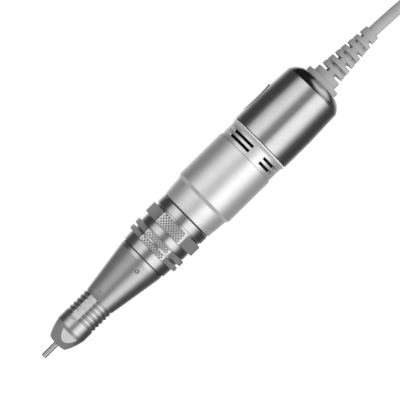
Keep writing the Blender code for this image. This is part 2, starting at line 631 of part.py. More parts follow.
def cord():
    """The lead from inside the cap, the solid of its folded length, its tie, and its plug on top."""
    route = [(141.0, 0, CAP_R), (160.0, 0, CAP_R), (177.8, 0, 14.1), (186.0, -0.3, 13.2), (193.0, -0.7, 10.9)]
    route += [(200.0, -1.6, 8.0), (206.0, -3.9, 5.3), (209.0, -6.2, 4.2)]
    wire("cord_lead", "grey cord", smooth_route([world(*p) for p in route], 9), CORD_R, resolution=3)
    side = [k * HANK_RUN / 12 for k in range(13)]
    lower = [(x, -(HANK_R + (HANK_WAIST - HANK_R) * pulled_in(x))) for x in side]
    loop = arc(HANK_R, pi / 2, 3 * pi / 2, 10) + lower[1:-1]
    loop += arc(HANK_R, -pi / 2, pi / 2, 10, (HANK_RUN, 0)) + [(x, -y) for x, y in lower[-2:0:-1]]
    place = {"at": world(HANK_FRONT, 0, HANK_HEIGHT / 2)}
    hank = finish(outline("cord_hank", [loop], HANK_HEIGHT, PARTS, **place), "grey cord")
    middle = HANK_FRONT + HANK_RUN / 2
    notch_top = TIE_THICK + GAP
    notch = boxes("tie_notch", [((TIE_WIDTH + 2 * GAP, 60, 4), (0, 0, 0), 0)], CUTTERS)
    notch.location = [c * MM for c in world(middle, 0, notch_top - 2)]
    combine(hank, notch)
    inner_half, inner_top = HANK_WAIST + GAP, 10.9
    outside = rectangle(0, inner_top + TIE_THICK, inner_half + TIE_THICK)
    inside = rectangle(TIE_THICK, inner_top, inner_half)
    place = {"at": world(middle, 0, 0), "turn": (0, pi / 2, 0)}
    finish(outline("hank_tie", [outside, inside], TIE_WIDTH, PARTS, **place), "black plastic")
    tail = [(-7.5, 16.8, 12.4), (-12.6, 11.8, 12.4), (-14.4, 4.8, 12.4), (-12.0, -3.2, 12.5)]
    tail += [(-6.0, -8.4, 13.2), (0.0, PLUG_Y, 14.5), (5.0, PLUG_Y, PLUG_Z), (10.0, PLUG_Y, PLUG_Z)]
    points = [world(HANK_FRONT + x, y, z) for x, y, z in tail]
    wire("cord_tail", "grey cord", smooth_route(points, 7), CORD_R, resolution=3)
    plug()


def plug():
    """The round plug on the lead's end: a moulded body with its own relief, and a metal barrel."""
    bore_r = CORD_R + GAP
    body = [(0, bore_r), (0, 3.3), (9.5, 3.8), (10.5, 4.6), (11.5, 4.75), (25.8, 4.75), (26.8, 4.2)]
    body += [(26.8, 3.05), (20.8, 3.05), (20.8, 1.0), (8.0, 1.0), (8.0, bore_r)]
    barrel = tube_profile(21.1, 36.5, 1.25, 2.75)
    for name, look, profile in (("plug_body", "grey rubber", body), ("plug_barrel", "bright steel", barrel)):
        solid = turned(name, look, profile, SMALL)
        solid.parent = None
        solid.location = [c * MM for c in world(PLUG_START, PLUG_Y, PLUG_Z)]
        solid.rotation_euler = (0, pi / 2, 0)


# ---------------------------------------------------------------- the whole object

for old in list(bpy.data.objects):
    bpy.data.objects.remove(old)
PARTS = new_collection("Nail drill")
CUTTERS = new_collection("Cutters")
AXIS = new_object("handpiece_axis", None, PARTS, at=world(0, 0, CAP_R), turn=(0, pi / 2, 0))

nose_cap()
set_screw(nose_sleeve(), chuck_tube())
motor_barrel()
vent_ring()
rear_cap()
strain_relief()
cord_clamp()
chuck_collar()
pusher()
spindle_group()
collet_group()
bit_shank()
motor_housing()
rotor()
brush_gear()
cord()

for part in PARTS.objects:
    if part.type == "MESH":
        part.data.shade_smooth()
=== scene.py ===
"""Looks for the electric nail drill: a detailed mesh for each piece that shows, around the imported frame.

Metres, +Z up. The handpiece lies along world X with its nose at -X. A place along its axis is a station,
in millimetres from the nose's front face, and a turned piece is a profile of (station, radius) in
millimetres. Angles about the axis start at the underside: 90 degrees is the +Y side and 180 the top.
"""

import json
from math import cos, pi, radians, sin, tan

import bmesh
import bpy
from mathutils import Matrix, Vector


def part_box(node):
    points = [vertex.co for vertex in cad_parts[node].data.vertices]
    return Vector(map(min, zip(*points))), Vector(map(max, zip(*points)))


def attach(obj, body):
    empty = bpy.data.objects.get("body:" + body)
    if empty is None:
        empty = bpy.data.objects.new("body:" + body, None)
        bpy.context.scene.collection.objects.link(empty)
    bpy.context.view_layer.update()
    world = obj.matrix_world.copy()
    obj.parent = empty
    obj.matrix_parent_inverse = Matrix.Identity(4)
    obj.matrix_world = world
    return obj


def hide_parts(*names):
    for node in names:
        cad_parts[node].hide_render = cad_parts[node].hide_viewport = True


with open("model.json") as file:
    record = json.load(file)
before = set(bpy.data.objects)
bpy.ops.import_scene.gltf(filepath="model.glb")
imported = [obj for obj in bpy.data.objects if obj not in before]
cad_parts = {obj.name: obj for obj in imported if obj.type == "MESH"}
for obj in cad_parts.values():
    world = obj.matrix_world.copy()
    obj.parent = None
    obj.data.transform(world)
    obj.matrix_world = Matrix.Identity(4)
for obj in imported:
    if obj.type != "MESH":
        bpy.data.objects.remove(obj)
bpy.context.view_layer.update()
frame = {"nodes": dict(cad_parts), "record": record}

MM = 0.001
NOSE_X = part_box("nose_cap")[0][0]
AXIS_Z = (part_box("rear_cap")[0][2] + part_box("rear_cap")[1][2]) / 2
TO_AXIS = Matrix.Translation((NOSE_X, 0, AXIS_Z)) @ Matrix.Rotation(pi / 2, 4, "Y")

# Radii in millimetres
SHANK_R = 1.175
GRIP_R = 7.12
BAND_R = 10.6
BARREL_R = 13.85
CAP_R = AXIS_Z / MM
CORD_R = 2.4

# Stations in millimetres
NOSE_CAP_END = 8.2
GRIP_END = 24.6
CONE_END = 47.0
SLEEVE_END = 48.7
COLLAR_START, COLLAR_END = 49.1, 72.8
BARREL_START, BARREL_END = 73.3, 106.0
VENT_START, VENT_END = 106.3, 114.4
CAP_START, CAP_END = 114.7, 148.0
RELIEF_START, RELIEF_TAPER_START, RELIEF_END = 143.0, 153.6, 177.8

# The folded lead
HANK_FRONT = 232.0
HANK_RUN = 88.0
HANK_END_STRAIGHT = 4.0
OUTER_FOLD, INNER_FOLD = 19.2, 14.4
TIE_PULL = 12.0
TIE_WIDTH, TIE_THICK = 8.0, 0.9
PLUG_START = HANK_FRONT + 3.0
PLUG_Y, PLUG_Z = -9.6, 15.3

FACETS = 192  # round a large turned piece

# Angles about the axis
WRENCH_FLAT_ANGLE = radians(192)
FLUTE_ANGLE = radians(157.5)
HEX_CORNER_ANGLE = radians(207)
VENT_ANGLE = radians(145)
CAM_TURN = radians(35)

# The collar's six-sided rings: start, end and the radius to a corner
KNURLED_RINGS = [(53.65, 55.65, 12.5), (56.75, 59.05, 12.62), (62.95, 67.85, 12.9)]
KNURL_TEETH, KNURL_ROW = 54, 0.375


def place(station, y, z):
    """A world point from a station and two heights in millimetres."""
    return (NOSE_X + station * MM, y * MM, z * MM)


# ---------------------------------------------------------------- mesh helpers


def add(name, data):
    obj = bpy.data.objects.new(name, data)
    bpy.context.scene.collection.objects.link(obj)
    return obj


def shade(mesh, sharp=30):
    mesh.shade_smooth()
    mesh.set_sharp_from_angle(angle=radians(sharp))


def from_bmesh(name, bm, sharp=30):
    bmesh.ops.recalc_face_normals(bm, faces=bm.faces)
    mesh = bpy.data.meshes.new(name)
    bm.to_mesh(mesh)
    bm.free()
    shade(mesh, sharp)
    return add(name, mesh)


def lathe(name, profile, facets=FACETS, shift=None, matrix=TO_AXIS, start=0.0):
    """A closed profile turned about Z. shift(station, radius, angle) may change the radius of a point.

    A quad that isn't flat is split along its lower diagonal, so that teeth cut by shift stay crisp.
    """
    bm = bmesh.new()
    rings = []
    for station, radius in profile:
        ring = []
        for k in range(facets if radius else 1):
            a = start + 2 * pi * k / facets
            r = shift(station, radius, a) if shift else radius
            vertex = bm.verts.new(matrix @ Vector((r * cos(a) * MM, r * sin(a) * MM, station * MM)))
            ring.append((r, vertex))
        rings.append(ring)
    pairs = list(zip(rings, rings[1:]))
    if profile[0][1] and profile[-1][1]:
        pairs.append((rings[-1], rings[0]))
    for one, two in pairs:
        for k in range(facets):
            j = k + 1
            quad = [one[k % len(one)], one[j % len(one)], two[j % len(two)], two[k % len(two)]]
            corners = list(dict.fromkeys(vertex for _, vertex in quad))
            rise = quad[0][0] + quad[2][0] - quad[1][0] - quad[3][0]
            if len(corners) == 4 and abs(rise) > 0.01:
                a, b, c, d = corners if rise < 0 else corners[1:] + corners[:1]
                bm.faces.new((a, b, c))
                bm.faces.new((a, c, d))
            else:
                bm.faces.new(corners)
    return from_bmesh(name, bm)


def finer(points, size=0.12, guard=0.03):
    """A closed profile with its corners rounded off, and a point beside each so that long runs shade flat."""
    shallow, least_reach, most_of_side = radians(155), 0.02, 0.4
    done = []
    for i, here in enumerate(points):
        before, here, after = Vector(points[i - 1]), Vector(here), Vector(points[(i + 1) % len(points)])
        back, on = before - here, after - here
        reach = min(size, back.length * most_of_side, on.length * most_of_side)
        if here.y == 0 or back.angle(on) > shallow or reach < least_reach:
            reach = 0
        first, last = here + back.normalized() * reach, here + on.normalized() * reach
        if here.y and back.length > 4 * (reach + guard):
            done.append(tuple(first + back.normalized() * guard))
        for t in (0, 0.33, 0.67, 1) if reach else (0,):
            done.append(tuple((1 - t) ** 2 * first + 2 * t * (1 - t) * here + t**2 * last))
        if here.y and on.length > 4 * (reach + guard):
            done.append(tuple(last + on.normalized() * guard))
    return done


def curve_through(points, per_span):
    """A smooth line through the points, with per_span steps between each two."""
    knots = [Vector(p) for p in points]
    knots = [2 * knots[0] - knots[1], *knots, 2 * knots[-1] - knots[-2]]
    line = []
    for a, b, c, d in zip(knots, knots[1:], knots[2:], knots[3:]):
        for k in range(per_span):
            t = k / per_span
            bend = (2 * a - 5 * b + 4 * c - d) * t**2 + (3 * b - a - 3 * c + d) * t**3
            line.append(tuple((2 * b + (c - a) * t + bend) / 2))
    line.append(tuple(knots[-2]))
    return line


def prism(name, loops, low, high, matrix=TO_AXIS):
    """Closed flat loops in millimetres, each made solid from low to high along Z."""
    bm = bmesh.new()
    for loop in loops:
        floor_ring = [bm.verts.new(matrix @ (Vector((x, y, low)) * MM)) for x, y in loop]
        roof_ring = [bm.verts.new(matrix @ (Vector((x, y, high)) * MM)) for x, y in loop]
        bm.faces.new(floor_ring)
        bm.faces.new(roof_ring)
        for k in range(len(loop)):
            bm.faces.new((floor_ring[k - 1], floor_ring[k], roof_ring[k], roof_ring[k - 1]))
    return from_bmesh(name, bm)


def cut(obj, tool, operation="DIFFERENCE", sharp=30):
    """Applies a Boolean of obj with a tool, and removes the tool. Edges over the sharp angle stay crisp."""
    modifier = obj.modifiers.new("Cut", "BOOLEAN")
    modifier.operation = operation
    modifier.solver = "EXACT"
    modifier.object = tool
    shape = obj.evaluated_get(bpy.context.evaluated_depsgraph_get())
    mesh = bpy.data.meshes.new_from_object(shape)
    obj.modifiers.clear()
    obj.data = mesh
    bpy.data.objects.remove(tool)
    shade(mesh, sharp)
    return obj


def arc(radius, start, end, steps, centre=(0, 0)):
    """Points along an arc, both ends included."""
    angles = [start + (end - start) * k / steps for k in range(steps + 1)]
    return [(centre[0] + radius * cos(a), centre[1] + radius * sin(a)) for a in angles]


def sector(inner, outer, middle, sweep, steps):
    """The outline of a piece of a ring."""
    first, last = middle - sweep / 2, middle + sweep / 2
    return arc(outer, first, last, steps) + arc(inner, last, first, steps)


def outward(angle, station):
    """The frame of a piece that points away from the axis: its Z is the distance from the axis."""
    turn = Matrix.Rotation(angle, 4, "Z") @ Matrix.Translation((0, 0, station * MM))
    return TO_AXIS @ turn @ Matrix.Rotation(pi / 2, 4, "Y")


SET_SCREW = outward(WRENCH_FLAT_ANGLE, 43.6)


# ---------------------------------------------------------------- materials


def new_material(name, color, metallic, roughness):
    mat = bpy.data.materials.new(name)
    mat.use_nodes = True
    shader = mat.node_tree.nodes["Principled BSDF"]
    shader.inputs["Base Color"].default_value = (*color, 1)
    shader.inputs["Metallic"].default_value = metallic
    shader.inputs["Roughness"].default_value = roughness
    return mat, mat.node_tree, shader


def noise_of(tree, scale, detail=3.0, stretch=(1, 1, 1)):
    """A noise in object space, scaled per metre. A small factor for an axis stretches its grain along it."""
    where = tree.nodes.new("ShaderNodeTexCoord")
    mapping = tree.nodes.new("ShaderNodeMapping")
    mapping.inputs["Scale"].default_value = stretch
    noise = tree.nodes.new("ShaderNodeTexNoise")
    noise.inputs["Scale"].default_value = scale
    noise.inputs["Detail"].default_value = detail
    tree.links.new(where.outputs["Object"], mapping.inputs["Vector"])
    tree.links.new(mapping.outputs["Vector"], noise.inputs["Vector"])
    return noise.outputs["Fac"]


def to_unit(tree, value, low, high, interpolation="LINEAR"):
    """A value that goes from 0 to 1 as the given one goes from low to high."""
    span = tree.nodes.new("ShaderNodeMapRange")
    span.interpolation_type = interpolation
    span.inputs["From Min"].default_value, span.inputs["From Max"].default_value = low, high
    tree.links.new(value, span.inputs["Value"])
    return span.outputs["Result"]


def spread_to(tree, value, low, high, socket):
    """Varies a number socket between low and high by a noise value."""
    span = tree.nodes.new("ShaderNodeMapRange")
    span.inputs["From Min"].default_value = 0.3
    span.inputs["From Max"].default_value = 0.7
    span.inputs["To Min"].default_value = low
    span.inputs["To Max"].default_value = high
    tree.links.new(value, span.inputs["Value"])
    tree.links.new(span.outputs["Result"], socket)


def tint(tree, value, dark, light, socket):
    """Varies a colour socket between two colours by a noise value."""
    ramp = tree.nodes.new("ShaderNodeValToRGB")
    ramp.color_ramp.elements[0].position = 0.3
    ramp.color_ramp.elements[0].color = (*dark, 1)
    ramp.color_ramp.elements[1].position = 0.7
    ramp.color_ramp.elements[1].color = (*light, 1)
    tree.links.new(value, ramp.inputs["Fac"])
    tree.links.new(ramp.outputs["Color"], socket)


def bump(tree, value, depth, strength, shader):
    node = tree.nodes.new("ShaderNodeBump")
    node.inputs["Distance"].default_value = depth
    node.inputs["Strength"].default_value = strength
    tree.links.new(value, node.inputs["Height"])
    tree.links.new(node.outputs["Normal"], shader.inputs["Normal"])


def shades(color, low, high):
    """A darker and a lighter version of a colour."""
    return [c * low for c in color], [min(c * high, 1) for c in color]


def metal(name, tone, roughness, grain=0.0, warm=(1, 1, 1), metallic=1.0):
    """Machined metal: fine turning marks round the axis, or a blasted grain, and slight stains of tone."""
    turning_depth, turning_stretch = 0.000001, (1, 0.02, 0.02)
    color = [tone * c for c in warm]
    mat, tree, shader = new_material(name, color, metallic, roughness)
    tint(tree, noise_of(tree, 260, 4), *shades(color, 0.97, 1.02), shader.inputs["Base Color"])
    marks = noise_of(tree, 4200, 2, (1, 1, 1) if grain else turning_stretch)
    spread_to(tree, marks, roughness * 0.92, roughness * 1.08, shader.inputs["Roughness"])
    bump(tree, marks, grain or turning_depth, 0.5, shader)
    return mat


def rubber(name, tone, roughness, grain=0.00003):
    """Moulded rubber: a fine matte grain, and handling marks that change its gloss."""
    color = (tone, tone, tone * 1.01)
    mat, tree, shader = new_material(name, color, 0.0, roughness)
    shader.inputs["Specular IOR Level"].default_value = 0.35
    tint(tree, noise_of(tree, 180, 4), *shades(color, 0.93, 1.05), shader.inputs["Base Color"])
    handling = noise_of(tree, 420)
    spread_to(tree, handling, roughness * 0.85, min(roughness * 1.15, 1), shader.inputs["Roughness"])
    bump(tree, noise_of(tree, 5200, 2), grain, 0.5, shader)
    return mat


def plastic(name, color, roughness):
    """Moulded plastic, with a slight grain and slight stains."""
    mat, tree, shader = new_material(name, color, 0.0, roughness)
    tint(tree, noise_of(tree, 300), *shades(color, 0.9, 1.05), shader.inputs["Base Color"])
    spread_to(tree, noise_of(tree, 900), roughness * 0.8, roughness * 1.2, shader.inputs["Roughness"])
    bump(tree, noise_of(tree, 3500, 2), 0.00002, 0.4, shader)
    return mat


def toward_grey(tree, factor, color, grey):
    """Mixes a colour with a plain grey, by a factor."""
    mix = tree.nodes.new("ShaderNodeMix")
    mix.data_type = "RGBA"
    first_color, second_color, mixed_color = mix.inputs[6], mix.inputs[7], mix.outputs[2]
    second_color.default_value = (grey, grey, grey, 1)
    tree.links.new(factor, mix.inputs[0])
    tree.links.new(color, first_color)
    return mixed_color


def knurled(mat):
    """Adds a knurl to a metal, by its mesh's attribute.

    Up to 0.5 the metal grows duller and paler, and from there to 0.85 its pits are painted nearly black:
    painted shade in the pits.
    """
    tree = mat.node_tree
    shader = tree.nodes["Principled BSDF"]
    knurl = tree.nodes.new("ShaderNodeAttribute")
    knurl.attribute_name = "knurl"
    # The last step is painted shade: the colour in the knurl's pits goes to a dark grey.
    steps = [("Roughness", 0.0, 0.5, 0.38), ("Base Color", 0.0, 0.5, 0.98), ("Base Color", 0.5, 0.85, 0.08)]
    for name, low, high, knurled_value in steps:
        socket = shader.inputs[name]
        plain = socket.links[0].from_socket
        factor = to_unit(tree, knurl.outputs["Fac"], low, high)
        tree.links.new(toward_grey(tree, factor, plain, knurled_value), socket)
    return mat


MATERIALS = {
    "nose_metal": metal("nose_metal", 0.62, 0.26),
    "collar_metal": knurled(metal("collar_metal", 0.62, 0.11)),
    "barrel_aluminium": metal("barrel_aluminium", 0.91, 0.40, grain=0.000003, metallic=0.86),
    "cap_metal": metal("cap_metal", 0.62, 0.16),
    "badge_metal": metal("badge_metal", 0.60, 0.30),
    "bright_steel": metal("bright_steel", 0.50, 0.04),
    "dark_steel": metal("dark_steel", 0.25, 0.40),
    "magnet": metal("magnet", 0.12, 0.50, grain=0.00001),
    "brass": metal("brass", 0.80, 0.25, warm=(1, 0.76, 0.38)),
    "copper": metal("copper", 0.80, 0.30, warm=(1, 0.48, 0.28)),
    "carbon": plastic("carbon", (0.03, 0.03, 0.03), 0.55),
    "black_plastic": plastic("black_plastic", (0.012, 0.012, 0.013), 0.6),
    "grey_rubber": rubber("grey_rubber", 0.33, 0.55),
    "grey_cord": rubber("grey_cord", 0.36, 0.45, 0.00001),
    "red_wire": plastic("red_wire", (0.55, 0.02, 0.02), 0.35),
    "black_wire": plastic("black_wire", (0.015, 0.015, 0.015), 0.35),
}


# ---------------------------------------------------------------- camera, light and floor


def camera():
    """Straight above, turned so that the handpiece runs from lower left to upper right."""
    tilt, distance, field = radians(44.6), 1.0, 0.1603
    data = bpy.data.cameras.new("camera")
    data.sensor_width = 36
    data.lens = data.sensor_width * distance / field
    data.clip_end = 10
    obj = add("camera", data)
    middle_station, middle_y = 81.3, 0.6
    obj.location = (NOSE_X + middle_station * MM, middle_y * MM, AXIS_Z + distance)
    obj.rotation_euler = (0, 0, -tilt)
    bpy.context.scene.camera = obj
    bpy.context.scene.view_settings.view_transform = "Standard"


def angle_about_x(tree, direction):
    """A direction's angle about X, from 0 to 1: half is overhead, and more than that is towards -Y."""
    new, link = tree.nodes.new, tree.links.new
    split, minus_y, angle = new("ShaderNodeSeparateXYZ"), new("ShaderNodeMath"), new("ShaderNodeMath")
    link(direction, split.inputs[0])
    minus_y.operation, minus_y.inputs[1].default_value = "MULTIPLY", -1
    link(split.outputs["Y"], minus_y.inputs[0])
    angle.operation = "ARCTAN2"
    link(minus_y.outputs[0], angle.inputs[0])
    link(split.outputs["Z"], angle.inputs[1])
    return to_unit(tree, angle.outputs[0], -pi, pi)


def banded(tree, direction, bands):
    """The grey in a direction, from bands of (angle about X in degrees, grey)."""
    ramp = tree.nodes.new("ShaderNodeValToRGB")
    stops = ramp.color_ramp.elements
    while len(stops) < len(bands):
        stops.new(0.5)
    for stop, (degrees, grey) in zip(stops, bands):
        stop.position = (degrees + 180) / 360
        stop.color = (grey, grey, grey, 1)
    tree.links.new(angle_about_x(tree, direction), ramp.inputs["Fac"])
    return ramp.outputs["Color"]


def faded(tree, direction, color, grey, reach, toward):
    """A colour that turns grey as the direction's part along the vector toward rises through the reach."""
    along = tree.nodes.new("ShaderNodeVectorMath")
    along.operation = "DOT_PRODUCT"
    along.inputs[1].default_value = toward
    tree.links.new(direction, along.inputs[0])
    factor = to_unit(tree, along.outputs["Value"], *reach, "SMOOTHSTEP")
    return toward_grey(tree, factor, color, grey)


def studio_world():
    """A soft studio: white all round for matt surfaces, and for gloss long softboxes with dark gaps between.

    A band's angle is the direction's angle about X: 0 is overhead and positive is towards -Y. The fades
    turn the bands grey towards -X, black towards +X, and light again at that end.
    """
    bands = [
        (-180, 0.90), (-160, 0.80), (-145, 0.50), (-130, 0.18), (-115, 0.06), (-90, 0.05), (-75, 0.10),
        (-62, 0.50), (-50, 0.72), (-30, 0.85), (-18, 0.60), (-10, 0.28), (0, 0.22), (10, 0.25),
        (18, 0.70), (30, 1.00), (50, 1.00), (62, 0.80), (72, 0.40), (85, 0.10), (105, 0.05),
        (130, 0.07), (150, 0.28), (165, 0.70), (180, 0.90),
    ]
    fades = [
        (0.25, (0.15, 0.50), (-1, 0.1, 0)),
        (0.01, (0.42, 0.72), (1, 0.3, 0)),
        (0.75, (0.86, 1.03), (1, -0.2, 0)),
    ]
    gloss_strength, matt_strength = 1.32, 0.52
    world = bpy.data.worlds.new("studio")
    bpy.context.scene.world = world
    world.use_nodes = True
    tree = world.node_tree
    tree.nodes.clear()
    new, link = tree.nodes.new, tree.links.new
    direction = new("ShaderNodeTexCoord").outputs["Generated"]
    color = banded(tree, direction, bands)
    for grey, reach, toward in fades:
        color = faded(tree, direction, color, grey, reach, toward)
    gloss, matt = new("ShaderNodeBackground"), new("ShaderNodeBackground")
    gloss.inputs["Strength"].default_value = gloss_strength
    link(color, gloss.inputs["Color"])
    matt.inputs["Color"].default_value = (1, 1, 1, 1)
    matt.inputs["Strength"].default_value = matt_strength
    ray, choose, out = new("ShaderNodeLightPath"), new("ShaderNodeMixShader"), new("ShaderNodeOutputWorld")
    link(ray.outputs["Is Glossy Ray"], choose.inputs["Fac"])
    link(matt.outputs[0], choose.inputs[1])
    link(gloss.outputs[0], choose.inputs[2])
    link(choose.outputs[0], out.inputs["Surface"])


def floor():
    """A wide white floor. Gloss doesn't see it, because the studio's bands go on below the horizon."""
    half_size, clearance = 3.0, 0.0002
    bm = bmesh.new()
    bmesh.ops.create_grid(bm, x_segments=1, y_segments=1, size=half_size)
    obj = from_bmesh("floor", bm)
    obj.location = (0, 0, -clearance)
    mat, _, shader = new_material("floor", (0.45, 0.45, 0.45), 0.0, 0.9)
    shader.inputs["Specular IOR Level"].default_value = 0.0
    shader.inputs["Emission Color"].default_value = (1, 1, 1, 1)
    shader.inputs["Emission Strength"].default_value = 0.85
    obj.data.materials.append(mat)
    obj.visible_glossy = False


def key_light():
    """One soft light high on the -Y side, which models the matt rubber."""
    data = bpy.data.lights.new("key", "AREA")
    data.shape = "RECTANGLE"
    data.size, data.size_y = 0.5, 0.3
    data.energy = 8
    obj = add("key", data)
    obj.location = (0.12, -0.50, 0.87)
    obj.rotation_euler = Vector(obj.location).to_track_quat("Z", "Y").to_euler()
    obj.visible_glossy = False


# ---------------------------------------------------------------- nose and sleeve


def settle(obj, slot, body="root", replaced=()):
    """Gives a piece its material and slot, the body that it rides on, and the CAD nodes it stands for."""
    obj.data.materials.clear()
    obj.data.materials.append(MATERIALS[slot])
    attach(obj, body)
    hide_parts(*replaced)
    return obj


def nose_cap():
    """The domed nose: a slightly rounded front face, a curved side, and three flats for a wrench."""
    spigot_end, spigot_r, bore_r, mouth_r = 10.6, 6.0, 4.7, 1.5
    front = curve_through([(0, 2.4), (0.12, 3.35), (0.45, 4.15)], 3)
    side = [(0.5, 4.2), (1.8, 4.95), (3.8, 5.82), (5.8, 6.52), (NOSE_CAP_END, GRIP_R - 0.04)]
    side = curve_through(side, 4)
    spigot = [(NOSE_CAP_END, spigot_r), (spigot_end, spigot_r), (spigot_end, bore_r)]
    inside = [(4.4, bore_r), (2.0, 3.2), (1.4, mouth_r), (0, mouth_r)]
    cap = lathe("nose_cap_shell", finer(front + side + spigot + inside, 0.08))
    flat_depth, flat_end, flat_tilt = 5.7, 7.0, radians(4)
    flat = [(0, -6), (5, -6), (5, 6), (0, 6)]
    for k in range(3):
        turn = Matrix.Rotation(WRENCH_FLAT_ANGLE + k * 2 * pi / 3, 4, "Z")
        move = Matrix.Translation((flat_depth * MM, 0, flat_end * MM))
        flat_frame = TO_AXIS @ turn @ move @ Matrix.Rotation(flat_tilt, 4, "Y")
        cut(cap, prism("flat", [flat], -10, 0, flat_frame), sharp=7)
    return settle(cap, "nose_metal", replaced=["nose_cap"])


def nose_sleeve():
    """The grip sleeve: six round-bottomed grooves, three milled flutes, the cone and its rear band."""
    groove_first, groove_pitch, groove_count, groove_r, groove_depth = 13.8, 2.0, 6, 0.5, 0.42
    rear_bore_r, cone_bore_r, grip_bore_r, mouth_r = 8.9, 7.9, 5.8, 6.3
    start = NOSE_CAP_END + 0.03
    outside = [(start, mouth_r), (start, GRIP_R)]
    for k in range(groove_count):
        middle = groove_first + k * groove_pitch
        outside += arc(groove_r, radians(190), radians(350), 8, (middle, GRIP_R + groove_r - groove_depth))
    outside += [(GRIP_END, GRIP_R), (CONE_END, BAND_R), (SLEEVE_END, BAND_R)]
    inside = [(SLEEVE_END, rear_bore_r), (41.2, rear_bore_r), (41.2, cone_bore_r), (27.0, 6.2)]
    inside += [(27.0, grip_bore_r), (11.1, grip_bore_r), (11.1, mouth_r)]
    sleeve = lathe("grip_sleeve", finer(outside + inside, 0.07))
    for k in range(3):
        cut(sleeve, flute(FLUTE_ANGLE + k * 2 * pi / 3), sharp=7)
    cut(sleeve, lathe("hole", [(7, 0), (7, 0.85), (12, 0.85), (12, 0)], 48, matrix=SET_SCREW))
    return settle(sleeve, "nose_metal", replaced=["nose_sleeve"])


def flute(angle):
    """A cutter for one flute: flat-bottomed with round ends, the front one scooped, the rear up the cone."""
    half_width, floor_r, top, front, rear = 2.05, 6.5, 10.0, 13.8, 26.1
    front_lift, front_ramp, climb = 0.28, 1.3, 2 * half_width * tan(radians(11))
    start, end = front - half_width, rear + half_width
    side = [(start, floor_r + front_lift), (start + front_ramp, floor_r), (rear - half_width, floor_r)]
    side += [(end, floor_r + climb), (end, top), (start, top)]
    turn = TO_AXIS @ Matrix.Rotation(angle, 4, "Z")
    # The side view is (station, distance from the axis), and the outline is (station, sideways)
    side_frame = turn @ Matrix(((0, 1, 0, 0), (0, 0, 1, 0), (1, 0, 0, 0), (0, 0, 0, 1)))
    blank = prism("flute", [side], -half_width, half_width, side_frame)
    loop = arc(half_width, -pi / 2, pi / 2, 24, (rear, 0))
    loop += arc(half_width, pi / 2, 3 * pi / 2, 24, (front, 0))
    outline_frame = turn @ Matrix(((0, 0, 1, 0), (0, 1, 0, 0), (1, 0, 0, 0), (0, 0, 0, 1)))
    return cut(blank, prism("outline", [loop], 5, 11, outline_frame), "INTERSECT")


def nose_set_screw():
    """A small socket set screw, just below the cone's surface, as (distance from the axis, radius)."""
    bottom, top, screw_r = 8.1, 9.95, 0.6
    outside = [(bottom, 0), (bottom, 0.4), (8.3, screw_r), (9.85, screw_r), (top, 0.5), (top, 0)]
    screw = lathe("set_screw", outside, 32, matrix=SET_SCREW)
    cut(screw, lathe("socket", [(9.3, 0), (9.3, 0.3), (10.2, 0.3), (10.2, 0)], 6, matrix=SET_SCREW))
    return settle(screw, "bright_steel", replaced=["nose_set_screw"])


def bit_shank():
    """The plain ground shank, chamfered at both ends."""
    start, end, chamfer = -7.4, 23.4, 0.25
    outside = [(start, 0), (start, SHANK_R - chamfer), (start + chamfer, SHANK_R)]
    outside += [(end - chamfer, SHANK_R), (end, SHANK_R - chamfer), (end, 0)]
    shank = lathe("ground_shank", finer(outside, 0.05), 96)
    return settle(shank, "bright_steel", "bit", ["bit_shank"])


# ---------------------------------------------------------------- collar


def wave(x):
    """A triangle wave: 0 at whole numbers and 1 half way between them."""
    return 1 - abs(2 * (x % 1) - 1)


def crown(part):
    """The radius along a ring's bowed side, as a part of the radius to its corner: part runs from 0 to 1."""
    middle = 0.93
    return middle + (1 - middle) * (2 * part - 1) ** 2


def knurl_at(ring, station, angle):
    """A six-sided ring's radius at a point, and its knurl attribute.

    The attribute is 0 on the smooth land at a corner, 0.5 on a tooth's worn top and 1 in a pit.
    """
    depth, worn, land_half_width = 0.5, 0.6, 0.55
    start, end, corner = ring
    side = pi / 3
    part = ((angle - HEX_CORNER_ANGLE) % side) / side
    land = land_half_width / (corner * side)
    if min(part, 1 - part) < land:
        return corner, 0
    along = (station - start) / (end - start) * round((end - start) / KNURL_ROW) / 4
    around = (angle - HEX_CORNER_ANGLE) * KNURL_TEETH / (2 * pi)
    tooth = min(max(wave(around + along), wave(around - along)), worn)
    radius = corner * crown(part) / crown(land) - depth * (worn - tooth)
    return radius, 0.5 + 0.5 * (1 - tooth / worn)


